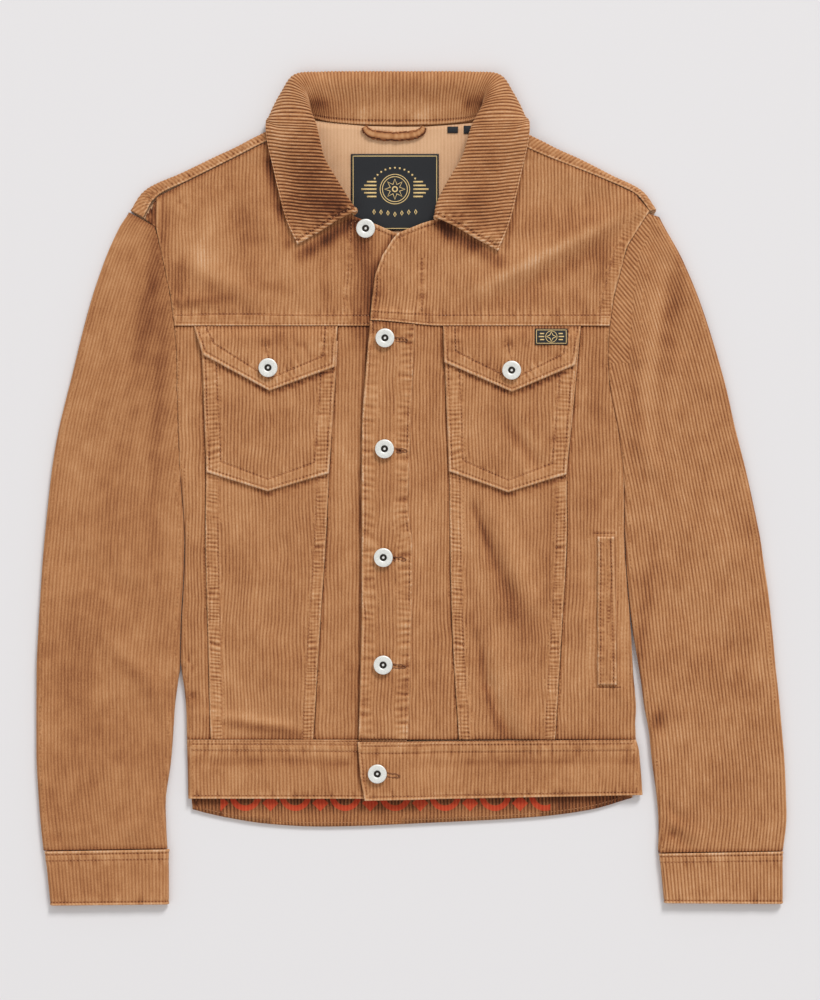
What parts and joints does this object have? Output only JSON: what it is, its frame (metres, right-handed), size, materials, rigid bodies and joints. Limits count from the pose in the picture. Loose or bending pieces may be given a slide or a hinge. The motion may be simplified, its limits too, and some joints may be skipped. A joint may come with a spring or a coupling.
{
  "type": "corduroy jacket",
  "caption": "Men's corduroy trucker jacket laid flat and buttoned, with shirt collar, yokes, flap pockets, waistband and cuffs.",
  "frame": {"origin": "middle of the laid jacket's outline, on the surface it lies on", "axes": "+Z away from that surface, +Y towards the collar, +X towards the wearer's left sleeve"},
  "size_m": [0.691, 0.7679, 0.0204],
  "materials": {
    "corduroy": "8-wale cotton corduroy in tan brown, washed, with lighter worn seams",
    "button_metal": "dull silver ring-top shank buttons",
    "woven_label": "black woven label with plain gold line work"
  },
  "bodies": {
    "root": {"back_centre": "corduroy", "back_side_left": "corduroy", "back_side_right": "corduroy", "back_yoke": "corduroy", "collar": "corduroy", "cuff_left": "corduroy", "cuff_right": "corduroy", "flap_button_left": "button_metal", "flap_button_right": "button_metal", "flap_label": "woven_label", "front_button_1": "button_metal", "front_button_2": "button_metal", "front_button_3": "button_metal", "front_button_4": "button_metal", "front_button_5": "button_metal", "front_button_6": "button_metal", "front_centre_left": "corduroy", "front_centre_right": "corduroy", "front_mid_left": "corduroy", "front_mid_right": "corduroy", "front_side_left": "corduroy", "front_side_right": "corduroy", "front_yoke_left": "corduroy", "front_yoke_right": "corduroy", "hanger_loop": "corduroy", "neck_label": "woven_label", "placket": "corduroy", "pocket_flap_left": "corduroy", "pocket_flap_right": "corduroy", "pocket_left": "corduroy", "pocket_right": "corduroy", "size_tab_1": "woven_label", "size_tab_2": "woven_label", "sleeve_under_left": "corduroy", "sleeve_under_right": "corduroy", "sleeve_upper_left": "corduroy", "sleeve_upper_right": "corduroy", "waistband_back": "corduroy", "waistband_front_left": "corduroy", "waistband_front_right": "corduroy", "welt_left": "corduroy"}
  },
  "joints": []
}
